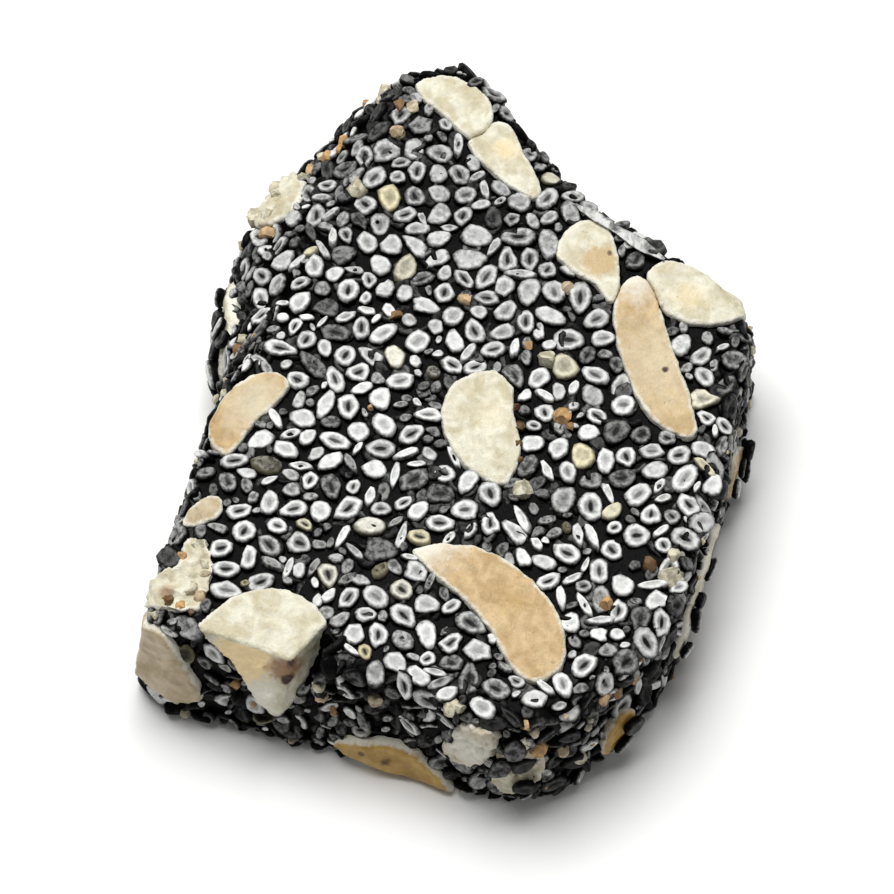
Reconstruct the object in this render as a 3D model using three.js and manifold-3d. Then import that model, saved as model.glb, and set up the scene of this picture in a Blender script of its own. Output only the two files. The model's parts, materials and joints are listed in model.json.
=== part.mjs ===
// Black sesame brittle slab with chopped peanuts: one hand-cut, four-sided slab, pressed flat.
// Millimetres, +Z up through the thickness, +X along the front cut, +Y towards the slanted back cut.
// The origin is at the middle of the slab's box, on the surface that the slab lies on.
import * as THREE from "three";
import { mergeVertices } from "three/addons/utils/BufferGeometryUtils.js";
import Module from "manifold-3d";

const wasm = await Module();
wasm.setup();

// ---------------------------------------------------------------- driving dimensions

const THICKNESS = 14; // pressed thickness, underside to upper face
const LEFT_LENGTH = 60.4; // long left side
const LEFT_LEAN = 4.8; // how far its far end leans to the right
const RIGHT_LENGTH = 45.7; // right side, shorter because the back is cut at a slant
const FRONT_WIDTH = 44.6; // front cut
const BACK_REACH = 43.5; // how far to the right the slanted back cut runs
const GAP = 0.3; // clearance between a peanut piece and its pocket
const PROUD = 0.45; // how far the pieces on the cut sides stand out of the slab
const CHUNK_PROUD = 1.6; // how far the chunk on the front rim does

// The four corners of the cut, with the length of the rounding on each.
const LEFT_X = -23.5;
const FRONT_Y = -30.2;
const CORNERS = [
  { x: LEFT_X, y: FRONT_Y, round: 3 },
  { x: LEFT_X + FRONT_WIDTH, y: FRONT_Y + 0.8, round: 14 },
  { x: LEFT_X + BACK_REACH, y: FRONT_Y + RIGHT_LENGTH + 0.8, round: 4 },
  { x: LEFT_X + LEFT_LEAN, y: FRONT_Y + LEFT_LENGTH, round: 4 },
];

// Local swellings (out > 0) and bites (out < 0) of the cut edge: centre, size and reach.
const SWELLINGS = [
  { x: -12.9, y: 29.1, out: 5.5, reach: 5 },
  { x: -5.3, y: 24.5, out: 1.5, reach: 4.5 },
  { x: 11.2, y: 19.5, out: 1.1, reach: 9 },
  { x: 21.8, y: -7.4, out: 1.6, reach: 16 },
  { x: 0.1, y: -30.2, out: -0.6, reach: 9 },
  { x: 19.5, y: -23, out: -1.4, reach: 6 },
  { x: -21.2, y: -7.5, out: 2, reach: 12 },
];

// The broken shoulder of the left side: it slopes out from the rim by this much within this drop.
const SHOULDER = { x: -21, y: 13, out: 8.2, reach: 14.5, drop: 6.5 };

const RIM = 1.1; // how far the worn rims round over
const SIDE_ROUGHNESS = 0.55; // unevenness of the broken sides
const SIDE_PITCH = 2.6; // length of one lump of it
const EDGE_WANDER = 0.5; // slow wander of the cut line
const EDGE_PITCH = 5; // length of one swing of it
const PRESSED_LEVEL = THICKNESS - 0.3; // mean height of the pressed upper face
const FACE_WAVE = 0.22; // unevenness of that face
const FACE_PITCH = 9; // length of one wave of it
const FRONT_FOOT = 2.2; // the front cut leans, so its foot stands out

const OUTLINE_STEPS = 64; // points round the cut line
const FACE_RINGS = [0.62]; // rings inside the upper rim, as shares of its reach
const MIDDLE = new THREE.Vector2(1, -1); // the rings of the faces close in on this point

// ---------------------------------------------------------------- small helpers

// A repeatable pseudo-random number from 0 to 1 for whole-number coordinates.
function hash(i, j, k) {
  const s = Math.sin(i * 127.1 + j * 311.7 + k * 74.7) * 43758.5453;
  return s - Math.floor(s);
}

// Smooth noise from -1 to 1, with one swell for each unit of length.
function noise(x, y, z) {
  const [i, j, k] = [x, y, z].map(Math.floor);
  const [u, v, w] = [x - i, y - j, z - k].map((t) => t * t * (3 - 2 * t));
  const mix = THREE.MathUtils.lerp;
  const along = (b, c) => mix(hash(i, j + b, k + c), hash(i + 1, j + b, k + c), u);
  return 2 * mix(mix(along(0, 0), along(1, 0), v), mix(along(0, 1), along(1, 1), v), w) - 1;
}

// A closed surface from rings of equal length, capped by a point at each end.
// Each ring runs anticlockwise as seen from the last point.
function capRings(first, rings, last) {
  const count = rings[0].length;
  const points = [first, ...rings.flat(), last];
  const at = (r, i) => 1 + r * count + (i % count);
  const faces = [];
  for (let i = 0; i < count; i++) {
    faces.push(0, at(0, i + 1), at(0, i));
    faces.push(points.length - 1, at(rings.length - 1, i), at(rings.length - 1, i + 1));
    for (let r = 0; r + 1 < rings.length; r++) {
      faces.push(at(r, i), at(r, i + 1), at(r + 1, i));
      faces.push(at(r, i + 1), at(r + 1, i + 1), at(r + 1, i));
    }
  }
  return new THREE.BufferGeometry().setFromPoints(points).setIndex(faces);
}

function toSolid(geometry) {
  const bare = geometry.clone();
  bare.deleteAttribute("normal");
  bare.deleteAttribute("uv");
  const merged = mergeVertices(bare, 1e-4);
  return new wasm.Manifold(
    new wasm.Mesh({
      numProp: 3,
      vertProperties: new Float32Array(merged.attributes.position.array),
      triVerts: new Uint32Array(merged.index.array),
    }),
  );
}

function toGeometry(solid) {
  const mesh = solid.getMesh();
  const geometry = new THREE.BufferGeometry();
  geometry.setAttribute("position", new THREE.BufferAttribute(mesh.vertProperties, 3));
  geometry.setIndex(new THREE.BufferAttribute(mesh.triVerts, 1));
  geometry.computeVertexNormals();
  return geometry;
}

// The largest body of a solid: a cut can leave a splinter beside it.
function largest(solid) {
  const bodies = solid.decompose();
  return bodies.reduce((a, b) => (b.volume() > a.volume() ? b : a));
}

// ---------------------------------------------------------------- the slab's outer form

// The cut line seen from above: a rounded quadrilateral, swollen and wandering.
function cutLine() {
  const path = new THREE.Path();
  CORNERS.forEach((corner, n) => {
    const here = new THREE.Vector2(corner.x, corner.y);
    const towards = (other) =>
      here.clone().add(new THREE.Vector2(other.x, other.y).sub(here).setLength(corner.round));
    const before = towards(CORNERS[(n + 3) % 4]);
    const after = towards(CORNERS[(n + 1) % 4]);
    if (n === 0) path.moveTo(before.x, before.y);
    else path.lineTo(before.x, before.y);
    path.quadraticCurveTo(here.x, here.y, after.x, after.y);
  });
  path.closePath();
  const line = path.getSpacedPoints(OUTLINE_STEPS).slice(0, OUTLINE_STEPS);
  return line.map((p, n) => {
    const ahead = line[(n + 1) % OUTLINE_STEPS];
    const behind = line[(n + OUTLINE_STEPS - 1) % OUTLINE_STEPS];
    const out = new THREE.Vector2(ahead.y - behind.y, behind.x - ahead.x).normalize();
    let push = EDGE_WANDER * noise(p.x / EDGE_PITCH, p.y / EDGE_PITCH, 0.5);
    for (const s of SWELLINGS) {
      const away = Math.hypot(p.x - s.x, p.y - s.y) / s.reach;
      push += s.out * Math.exp(-away * away);
    }
    return { at: p.clone().addScaledVector(out, push), out };
  });
}

const LINE = cutLine();

// How far the broken shoulder stands out at a place of the cut line and a height.
function shoulder(at, z) {
  const away = Math.hypot(at.x - SHOULDER.x, at.y - SHOULDER.y) / SHOULDER.reach;
  const sloped = THREE.MathUtils.smoothstep(THICKNESS - z, 0, SHOULDER.drop);
  return SHOULDER.out * sloped * Math.exp(-away * away);
}

// The slab without pockets. grow widens it sideways, for the pieces that stand proud.
function slabForm(grow) {
  const ring = (z, inset, rough) =>
    LINE.map(({ at, out }) => {
      const front = FRONT_FOOT * Math.max(0, -out.y) * (1 - z / THICKNESS);
      const lump = rough * noise(at.x / SIDE_PITCH, at.y / SIDE_PITCH, z / SIDE_PITCH);
      const push = grow - inset + front + shoulder(at, z) + lump;
      return new THREE.Vector3(at.x + out.x * push, at.y + out.y * push, z);
    });
  const waved = (v) => {
    v.z = PRESSED_LEVEL + FACE_WAVE * noise(v.x / FACE_PITCH, v.y / FACE_PITCH, 3);
    return v;
  };
  const rim = ring(THICKNESS, RIM, 0);
  const middle = new THREE.Vector3(MIDDLE.x, MIDDLE.y, 0);
  const shrunk = (share) => rim.map((v) => middle.clone().lerp(v, share).setZ(THICKNESS));
  return toSolid(
    capRings(
      middle.clone(),
      [
        ring(0, RIM, 0),
        ring(0.35 * RIM, 0.4 * RIM, 0.3 * SIDE_ROUGHNESS),
        ring(RIM, 0.1, SIDE_ROUGHNESS),
        ring(0.32 * THICKNESS, 0, SIDE_ROUGHNESS),
        ring(0.54 * THICKNESS, 0.1, SIDE_ROUGHNESS),
        ring(0.76 * THICKNESS, 0, SIDE_ROUGHNESS),
        ring(THICKNESS - RIM, 0.15, 0.6 * SIDE_ROUGHNESS),
        ring(THICKNESS - 0.55 * RIM, 0.5 * RIM, 0),
        rim.map(waved),
        ...FACE_RINGS.map((share) => shrunk(share).map(waved)),
      ],
      waved(middle.clone()),
    ),
  );
}

// ---------------------------------------------------------------- peanut pieces

// Colours of the pieces: raw ivory, pale tan, roasted brown and the dull cut kernel.
const IVORY = 0xefe6cb;
const TAN = 0xdfc49c;
const ROASTED = 0xb08144;
const DULL = 0xa89a7c;

// Which way a face looks and what runs to the right and up on it. Level is how far out it lies,
// for the faces that pieces are cut through in.
const FACES = {
  top: { right: [1, 0, 0], up: [0, 1, 0], out: [0, 0, 1], level: THICKNESS },
  base: { right: [-1, 0, 0], up: [0, 1, 0], out: [0, 0, -1] },
  front: { right: [1, 0, 0], up: [0, 0, 1], out: [0, -1, 0], level: -FRONT_Y },
  right: { right: [0, 1, 0], up: [0, 0, 1], out: [1, 0, 0] },
  back: { right: [-1, 0, 0], up: [0, 0, 1], out: [0, 1, 0] },
  left: { right: [0, -1, 0], up: [0, 0, 1], out: [-1, 0, 0] },
};

// Pieces cut through so that their section lies in a face: the outline of that section, clockwise
// through a few points of a smooth line, how deep the body goes, and its colour. Those marked
// inner lie clear of the rims. The chunk on the front rim also has an outline on the front, and
// facets that slope down from the upper face: a point of each and the way it looks.
const SLICES = [
  { name: "nut_top_half_moon", face: "top", deep: 4.6, color: IVORY,
    outline: [
      [-16.9, 29.6], [-15.1, 31.2], [-12.1, 31.2], [-10, 29.8],
      [-9.5, 27.9], [-10.7, 26.1], [-13.2, 27.4], [-15.5, 28.4],
    ] },
  { name: "nut_top_tail", face: "top", deep: 3.6, color: IVORY,
    outline: [
      [-10.4, 25.5], [-8.8, 28], [-7.4, 28], [-5.7, 26], [-2.9, 22.9], [-3.3, 21.8], [-8.4, 23.8],
    ] },
  { name: "nut_top_heart", face: "top", deep: 4.4, inner: true, color: IVORY,
    outline: [
      [0.9, 16.6], [1, 19.2], [2.4, 20.8], [4.2, 20.7], [6, 18],
      [7, 14.8], [6.7, 13.7], [5, 15],
    ] },
  { name: "nut_top_spear", face: "top", deep: 3.8, inner: true, color: TAN,
    outline: [
      [7.8, 12], [7.6, 15.2], [8.6, 16.6], [10.2, 15.5], [13.6, 10.4],
      [17.9, 3.6], [17.2, 2.7], [13.6, 3.8], [10.4, 7.4],
    ] },
  { name: "nut_top_wedge", face: "top", deep: 4.4, color: IVORY,
    outline: [
      [9.3, 17.4], [10.6, 19], [12.8, 19.3], [15.6, 18.4], [18.9, 17],
      [17.6, 15.2], [14.2, 13.9], [11.1, 14.8],
    ] },
  { name: "nut_top_kidney", face: "top", deep: 5, inner: true, color: IVORY,
    outline: [
      [-3.9, -2], [-3.6, 1.2], [-0.9, 3.2], [1.1, 2.1], [2, -0.4],
      [3.5, -3], [3.5, -6.8], [1.6, -7], [-2, -5],
    ] },
  { name: "nut_top_crescent", face: "top", deep: 3.6, color: TAN,
    outline: [
      [-22.9, -10.8], [-23.2, -7.6], [-21.6, -4.3], [-19.4, -3],
      [-18.1, -3.9], [-18.7, -6], [-19.8, -8.4], [-20.9, -12],
    ] },
  { name: "nut_top_chip", face: "top", deep: 1.8, color: DULL,
    outline: [[-22.3, -20.1], [-22.1, -18.2], [-20.9, -16.5], [-19.8, -16.8], [-19.8, -18.4]] },
  { name: "nut_top_crumbly", face: "top", deep: 3.8, color: IVORY,
    outline: [
      [-23.9, -27.2], [-22.8, -25.1], [-21.2, -24], [-21.6, -21.9], [-20.6, -20.8],
      [-18.9, -22.2], [-18.3, -27.2], [-22, -28.2],
    ] },
  { name: "nut_top_comma", face: "top", deep: 5.2, inner: true, color: TAN,
    outline: [
      [-1.8, -16.1], [3, -14.2], [7, -14.9], [10.5, -16.9], [13, -19.7],
      [13.6, -22.9], [11.7, -24.8], [9.3, -23.7], [7.2, -21.4], [4, -19.2],
    ] },
  { name: "nut_rim_chunk", face: "top", deep: 9.4, color: IVORY,
    outline: [
      [-17.9, -30.4], [-16.6, -27.1], [-14.9, -24.8], [-12.8, -23.6], [-10.3, -23.5],
      [-8.1, -24.4], [-6.7, -26.4], [-7.2, -30], [-9, -35], [-16.9, -35],
    ],
    front: [
      [-17.4, 13], [-17.4, 18], [-6.8, 18], [-7.2, 10],
      [-8.4, 6.8], [-10, 6.8], [-12, 8.6], [-14.4, 11.4],
    ],
    facets: [
      { through: [-8.9, -29.4, 13.7], out: [-0.03, -0.9, 0.43] },
      { through: [-8.9, -29.4, 13.7], out: [0.91, -0.38, 0.14] },
    ] },
  { name: "nut_front_block", face: "front", deep: 4.4, color: DULL,
    outline: [
      [-23.1, 4.4], [-22.8, 8], [-22.9, 11.2], [-21.6, 12.4], [-20.1, 11.6],
      [-18.2, 8], [-16.9, 4.4], [-19.8, 3.7],
    ] },
  { name: "nut_front_roasted", face: "front", deep: 3.4, color: ROASTED,
    outline: [[-4.4, 2.6], [-2.7, 3.8], [2.2, 4.1], [4.4, 2.6], [6.6, 0.5], [4, 0.2], [-1.4, 0.9]] },
  { name: "nut_front_round", face: "front", deep: 2.8, color: DULL,
    outline: [[5.6, 7.4], [6.9, 10.6], [9, 12], [10.3, 10.7], [9.8, 7.9], [8, 5.7], [6.4, 5.6]] },
  { name: "nut_front_seeded", face: "front", deep: 3, color: IVORY,
    outline: [[10.2, 5.6], [10.8, 8.8], [12.4, 10.8], [13.9, 9], [14.3, 5.8], [12.7, 2.6], [10.9, 2.8]] },
];

// Whole or broken pieces: the face they show on, the middle of the body, length, width and depth,
// the turn of the length from the face's right (degrees), then bend, taper towards the far end,
// how square the ends are (2 is an ellipse), flat breaks (direction in degrees, distance), colour.
const LUMPS = [
  { name: "nut_right_long", face: "right", at: [22.4, -8.8, 7.1], size: [13.4, 4.6, 6], turn: 9,
    bend: 0.6, taper: 0.2, ends: 2.3, breaks: [], color: IVORY },
  { name: "nut_right_split", face: "right", at: [22.3, 5, 5.1], size: [6.6, 4.2, 5], turn: -35,
    bend: 0.2, taper: -0.3, ends: 2.6, breaks: [[180, 2.4]], color: TAN },
  { name: "nut_right_chip", face: "right", at: [19.7, -23.3, 4.6], size: [5, 3.4, 4], turn: 40,
    bend: 0, taper: 0.2, ends: 2.2, breaks: [], color: ROASTED },
  { name: "nut_back_half", face: "back", at: [10.8, 19.4, 5.9], size: [10.4, 4.8, 6], turn: 12,
    bend: 0.9, taper: 0.2, ends: 2.2, breaks: [], color: IVORY },
  { name: "nut_back_chip", face: "back", at: [-2, 24, 4.8], size: [5.4, 3.8, 5], turn: -30,
    bend: 0, taper: -0.2, ends: 2.5, breaks: [[0, 2]], color: TAN },
  { name: "nut_left_long", face: "left", at: [-26, 4.6, 4.6], size: [12, 4.8, 5], turn: -8,
    bend: 0.7, taper: 0.1, ends: 2.3, breaks: [[180, 5.2]], color: IVORY },
  { name: "nut_left_crumb", face: "left", at: [-26.2, 17, 8.2], size: [7, 5.4, 6], turn: 30,
    bend: 0.3, taper: 0.2, ends: 2.6, breaks: [[70, 1.8]], color: IVORY },
  { name: "nut_left_chip", face: "left", at: [-23, -13.5, 4.8], size: [5.6, 3.6, 4], turn: 55,
    bend: 0, taper: -0.2, ends: 2.2, breaks: [], color: DULL },
  { name: "nut_base_kidney", face: "base", at: [8, -21.1, 1.5], size: [12, 6.6, 6], turn: 28,
    bend: 0.8, taper: 0.1, ends: 2.3, breaks: [], color: IVORY },
  { name: "nut_base_wedge", face: "base", at: [-11.5, -17.5, 1.5], size: [9.4, 6, 6], turn: 74,
    bend: 0.2, taper: -0.4, ends: 2.2, breaks: [[180, 4]], color: TAN },
  { name: "nut_base_spear", face: "base", at: [10.5, -3.2, 1.3], size: [15, 4.4, 5], turn: -64,
    bend: 0.4, taper: -0.1, ends: 2.5, breaks: [], color: IVORY },
  { name: "nut_base_half_moon", face: "base", at: [-8.2, 1.5, 1.4], size: [10.4, 5.6, 6], turn: 18,
    bend: 1.5, taper: 0, ends: 2.2, breaks: [], color: TAN },
  { name: "nut_base_chunk", face: "base", at: [-11.6, 15.9, 1.5], size: [8.2, 6.4, 6], turn: -40,
    bend: 0.2, taper: 0.2, ends: 3, breaks: [[90, 2.6]], color: IVORY },
  { name: "nut_base_tail", face: "base", at: [5.3, 11.4, 1.3], size: [9.6, 4.6, 5], turn: 50,
    bend: -0.7, taper: -0.4, ends: 2.2, breaks: [], color: ROASTED },
];

const OVER = 3; // how far a slice's body stands over its face before it is trimmed
const SMOOTHNESS = 2; // points of the smooth outline for each one given
const BODY = [[1, 0.45], [0.42, 1.06], [-0.2, 1]]; // rings of that body: share of depth, of outline

// The body of a slice, from its closed end up to over the face, in the axes of the face.
function sliceBody(outline, deep, grow) {
  const corners = outline.map(([x, y]) => new THREE.Vector3(x, y, 0)).reverse();
  const line = new THREE.CatmullRomCurve3(corners, true).getPoints(SMOOTHNESS * corners.length).slice(1);
  const middle = new THREE.Vector3();
  for (const p of line) middle.addScaledVector(p, 1 / line.length);
  const ring = ([down, share]) =>
    line.map((p, n) => {
      const ahead = line[(n + 1) % line.length];
      const behind = line[(n + line.length - 1) % line.length];
      const out = new THREE.Vector3(ahead.y - behind.y, behind.x - ahead.x, 0).setLength(grow);
      const z = down < 0 ? OVER : -down * (deep + grow);
      return middle.clone().lerp(p, share).add(out).setZ(z);
    });
  const bottom = middle.clone().setZ(-deep - 2 * grow);
  return capRings(bottom, BODY.map(ring), middle.clone().setZ(OVER));
}

// Moves a body from the axes of a face into the slab's.
function onFace(geometry, face, at) {
  const { right, up, out } = FACES[face];
  const axes = [right, up, out].map((axis) => new THREE.Vector3(...axis));
  const place = new THREE.Matrix4().makeBasis(...axes).setPosition(...at);
  return geometry.applyMatrix4(place);
}

const CUTTER = 40; // side of the blocks that cut facets and flat breaks

// A block that takes away what lies past a slanting facet.
function facetBlock({ through, out }) {
  const block = new THREE.BoxGeometry(CUTTER, CUTTER, CUTTER).translate(0, 0, CUTTER / 2);
  const up = new THREE.Vector3(0, 0, 1);
  const lean = new THREE.Quaternion().setFromUnitVectors(up, new THREE.Vector3(...out).normalize());
  return toSolid(block.applyQuaternion(lean).translate(...through));
}

function sliceSolid(piece, grow) {
  const onLevel = (face) => FACES[face].out.map((n) => n * FACES[face].level);
  const flat = sliceBody(piece.outline, piece.deep, grow);
  let solid = toSolid(onFace(flat, piece.face, onLevel(piece.face)));
  if (piece.front) {
    const through = sliceBody(piece.front, FRONT_WIDTH, grow);
    solid = solid.intersect(toSolid(onFace(through, "front", onLevel("front"))));
  }
  return solid;
}

const STATIONS = 6; // steps along a lump
const AROUND = 8; // steps round it
const KNOBBLE = 0.09; // unevenness of a lump, as a share of its width

// The body of one lump, lying along its own X with its show side up.
function lumpBody(piece, number, grow) {
  const [length, width, deep] = piece.size;
  const rings = [];
  for (let s = 1; s < STATIONS; s++) {
    const along = -Math.cos((Math.PI * s) / STATIONS);
    const full = Math.pow(1 - Math.pow(Math.abs(along), piece.ends), 1 / piece.ends);
    const broad = full * (1 + piece.taper * along);
    rings.push(
      Array.from({ length: AROUND }, (_, n) => {
        const angle = (2 * Math.PI * n) / AROUND;
        const [across, high] = [Math.cos(angle), Math.sin(angle)];
        const lump = 1 + KNOBBLE * noise(2 * along + 7 * number, across * 1.3, high * 1.3);
        return new THREE.Vector3(
          along * (length / 2 + grow),
          piece.bend * (1 - along * along) + across * (broad * (width / 2) * lump + grow * full),
          high * (full * (deep / 2) * lump + grow * full),
        );
      }),
    );
  }
  const tip = (end) => new THREE.Vector3(end * (length / 2 + grow), 0, 0);
  return capRings(tip(-1), rings, tip(1));
}

// A block that takes away what lies past a flat break.
function breakBlock([degrees, distance], grow) {
  const block = new THREE.BoxGeometry(CUTTER, CUTTER, CUTTER);
  block.translate(CUTTER / 2 + distance + grow, 0, 0);
  return toSolid(block.rotateZ(THREE.MathUtils.degToRad(degrees)));
}

function lumpSolid(piece, number, grow) {
  let solid = toSolid(lumpBody(piece, number, grow));
  for (const flat of piece.breaks) solid = solid.subtract(breakBlock(flat, grow));
  const turned = toGeometry(solid).rotateZ(THREE.MathUtils.degToRad(piece.turn));
  return toSolid(onFace(turned, piece.face, piece.at));
}

// ---------------------------------------------------------------- assembly

const form = slabForm(0);
const proudForm = slabForm(PROUD);
const chunkForm = slabForm(CHUNK_PROUD);
const pressed = toSolid(
  new THREE.BoxGeometry(4 * FRONT_WIDTH, 4 * LEFT_LENGTH, PRESSED_LEVEL)
    .translate(0, 0, PRESSED_LEVEL / 2),
);
const limits = { top: form, inner: pressed, base: pressed, chunk: chunkForm };

const brittle = new THREE.Group();
let slab = form;
const pockets = [];
[...SLICES, ...LUMPS].forEach((piece, number) => {
  const body = (grow) =>
    piece.outline ? sliceSolid(piece, grow) : lumpSolid(piece, number, grow);
  const bounded = piece.facets ? "chunk" : piece.inner ? "inner" : piece.face;
  const limit = limits[bounded] ?? proudForm;
  let solid = body(0).intersect(limit);
  for (const cutter of [...(piece.facets ?? []).map(facetBlock), ...pockets]) {
    solid = solid.subtract(cutter);
  }
  const pocket = body(GAP);
  pockets.push(pocket);
  slab = slab.subtract(pocket);
  const finish = new THREE.MeshStandardMaterial({ color: piece.color, roughness: 0.5, metalness: 0 });
  const mesh = new THREE.Mesh(toGeometry(largest(solid)), finish);
  mesh.name = piece.name;
  brittle.add(mesh);
});

const syrup = new THREE.MeshStandardMaterial({ color: 0x1c1a18, roughness: 0.35, metalness: 0 });
const slabMesh = new THREE.Mesh(toGeometry(largest(slab)), syrup);
slabMesh.name = "slab";
brittle.add(slabMesh);

// Brings the middle of the box over the origin.
const box = new THREE.Box3().setFromObject(brittle, true);
const centre = box.getCenter(new THREE.Vector3());
brittle.position.set(-centre.x, -centre.y, -box.min.z);

export default brittle;
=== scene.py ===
"""Black sesame brittle: one hand-cut slab of syrup-bound sesame seeds and chopped peanuts."""

import json
import math
from copy import copy

import bpy
import numpy as np
from bpy.props import FloatProperty, FloatVectorProperty, IntProperty, PointerProperty
from mathutils import Euler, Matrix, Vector, noise
from mathutils.bvhtree import BVHTree
from mathutils.kdtree import KDTree

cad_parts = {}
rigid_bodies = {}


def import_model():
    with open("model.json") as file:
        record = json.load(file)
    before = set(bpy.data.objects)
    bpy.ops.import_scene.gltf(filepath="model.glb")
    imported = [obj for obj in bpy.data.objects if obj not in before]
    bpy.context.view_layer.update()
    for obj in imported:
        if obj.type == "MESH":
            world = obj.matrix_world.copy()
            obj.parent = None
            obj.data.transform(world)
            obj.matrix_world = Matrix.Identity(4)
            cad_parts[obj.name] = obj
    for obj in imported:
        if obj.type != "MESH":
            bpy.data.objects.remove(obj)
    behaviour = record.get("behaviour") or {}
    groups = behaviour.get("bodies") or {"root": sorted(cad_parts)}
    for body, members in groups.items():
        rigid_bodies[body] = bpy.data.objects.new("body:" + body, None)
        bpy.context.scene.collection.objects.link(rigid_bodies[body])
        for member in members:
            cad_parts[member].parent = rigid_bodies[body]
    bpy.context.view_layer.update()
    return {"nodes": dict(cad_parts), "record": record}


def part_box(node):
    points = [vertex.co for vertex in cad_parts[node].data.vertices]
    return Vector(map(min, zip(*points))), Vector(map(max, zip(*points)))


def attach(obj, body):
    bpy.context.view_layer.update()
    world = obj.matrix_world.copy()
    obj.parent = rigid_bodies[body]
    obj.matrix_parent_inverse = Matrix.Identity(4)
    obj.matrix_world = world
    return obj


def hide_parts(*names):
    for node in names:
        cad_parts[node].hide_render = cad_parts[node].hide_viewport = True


bl_info = {
    "name": "Sesame Brittle Slab",
    "version": (1, 0, 0),
    "blender": (4, 5, 0),
    "location": "3D View > Sidebar > Brittle",
    "description": "Makes a slab of black sesame brittle with peanut pieces",
    "category": "Object",
}

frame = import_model()
SUBPARTS = {row["node"]: row["material_slot"] for row in frame["record"]["subparts"]}
KERNELS = [name for name in SUBPARTS if name.startswith("nut_")]

MM = 0.001
BODY = "root"
FACE_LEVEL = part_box("slab")[1].z  # the pressed upper face


# ---------------------------------------------------------------- settings


def linear(red, green, blue):
    """A screen colour of 0 to 255 as the linear colour that the shaders take."""

    def channel(value):
        value /= 255
        return value / 12.92 if value <= 0.04045 else ((value + 0.055) / 1.055) ** 2.4

    return tuple(channel(value) for value in (red, green, blue))


def number(name, description, default, **kind):
    return FloatProperty(name=name, description=description, default=default, **kind)


def length(name, description, default):
    return number(name, description, default, unit="LENGTH", precision=5)


def fraction(name, description, default):
    return number(name, description, default, subtype="FACTOR", min=0, max=1)


def angle(name, description, degrees):
    return number(name, description, math.radians(degrees), subtype="ANGLE", unit="ROTATION")


def color(name, description, red, green, blue):
    return FloatVectorProperty(name=name, description=description, subtype="COLOR", size=3,
                               min=0, max=1, default=linear(red, green, blue))


class SyrupSettings(bpy.types.PropertyGroup):
    depth: length("Depth", "How far the syrup lies below the flats of the seeds", 0.58 * MM)
    voxel: length("Voxel", "Size of the remesh of the syrup", 0.46 * MM)
    relief: length("Relief", "Height of the lumps in the syrup", 0.3 * MM)
    socket_detail: fraction("Socket detail", "Share of a piece's faces kept in its socket", 0.6)
    tint: color("Colour", "The set syrup in the gaps", 4, 4, 4)
    film: color("Film", "The thin skin of syrup that lies over some seeds", 146, 146, 143)


class SeedSettings(bpy.types.PropertyGroup):
    length: length("Length", "Length of a sesame seed", 2.7 * MM)
    width: length("Width", "Width of a sesame seed", 1.92 * MM)
    thickness: length("Thickness", "Thickness of a sesame seed", 0.9 * MM)
    room: number("Room", "Surface for each seed in square millimetres", 4.8)
    face_lean: angle("Lean on the faces", "How far seeds lean on the pressed faces", 7)
    side_lean: angle("Lean on the sides", "How far seeds lean on the broken sides", 30)
    on_edge: fraction("On edge", "Share of seeds that stand on edge", 0.13)
    on_end: fraction("On end", "Share of seeds that stand on end", 0.05)
    small: fraction("Small", "Share of small seeds", 0.25)
    # Painted shade: seeds towards the back are darkened for the light that falls off there.
    back_shade: fraction("Back shade", "Share of their brightness that seeds at the back lack", 0.28)
    # flat and heart are painted reflection: the pale flat is the soft light mirrored in the glazed black
    # seed, painted into its colour, and the heart is the dark gap in the middle of that reflection
    flat: color("Flat", "The pale flat of a glazed seed", 240, 241, 238)
    heart: color("Heart", "The dark slot in the middle of the flat", 30, 30, 31)
    rim: color("Rim", "The dark edge of a seed", 10, 10, 10)
    cream: color("Cream seed", "A hulled seed among the black ones", 228, 218, 176)
    steps: IntProperty(name="Steps", description="Rounds of pushing the seeds apart", default=70)


class PeanutSettings(bpy.types.PropertyGroup):
    voxel: length("Voxel", "Size of the remesh of a piece", 0.22 * MM)
    swell: length("Swell", "How far a piece fills the gap of its pocket", 0.13 * MM)
    knobble: length("Knobble", "Height of the unevenness of a piece", 0.32 * MM)
    ivory: color("Ivory", "A raw piece", 211, 207, 184)
    tan: color("Tan", "A lightly roasted piece", 195, 168, 122)
    roasted: color("Roasted", "A browned piece", 186, 152, 82)
    dull: color("Dull", "A dull cut piece", 189, 173, 142)
    # Paler than raw ivory: a toasted tint, and on the chunk's lower facets also painted light.
    warm: color("Warm", "The toasted side of a cut piece", 248, 222, 168)
    # edge is partly the kernel's own paler edge and partly a painted highlight where its rounded rim
    # catches the light; marks on the chunk also use it as painted light
    edge: color("Edge", "The paler edge of a piece", 236, 233, 219)
    char: color("Char", "A charred spot", 58, 32, 16)
    brown: color("Brown", "A browned spot", 138, 88, 42)
    toasted: color("Toasted", "A lightly toasted crumb", 208, 164, 112)


class StageSettings(bpy.types.PropertyGroup):
    azimuth: angle("Azimuth", "Direction of the camera round the slab", 18.3)
    elevation: angle("Elevation", "Height of the camera above the horizon", 62)
    distance: length("Distance", "From the camera to the slab", 600 * MM)
    lens: number("Lens", "Focal length of the camera", 270.6, unit="CAMERA")
    aim: FloatVectorProperty(name="Aim", description="Point in the middle of the view", size=3,
                             subtype="TRANSLATION", unit="LENGTH",
                             default=(0.6 * MM, -6.2 * MM, 13.7 * MM))
    floor: color("Floor", "The plain pale floor", 250, 250, 249)
    light: number("Light", "Power of the large soft light", 4.7, unit="POWER")
    sky: number("Sky", "Strength of the even light from all round", 0.17)


SETTINGS = {
    "syrup": SyrupSettings,
    "seeds": SeedSettings,
    "peanut": PeanutSettings,
    "stage": StageSettings,
}


def settings(group):
    return getattr(bpy.context.scene, "brittle_" + group)


# ---------------------------------------------------------------- materials


MARK_WANDER = 0.9  # how far the edge of a mark wanders, as a share of the mark's reach
MARK_END = 1.45  # where such a wandering mark has faded out, as a share of its reach


def times(share, shade):
    """A colour made this much darker or paler."""
    return [share * value for value in shade]


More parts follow.
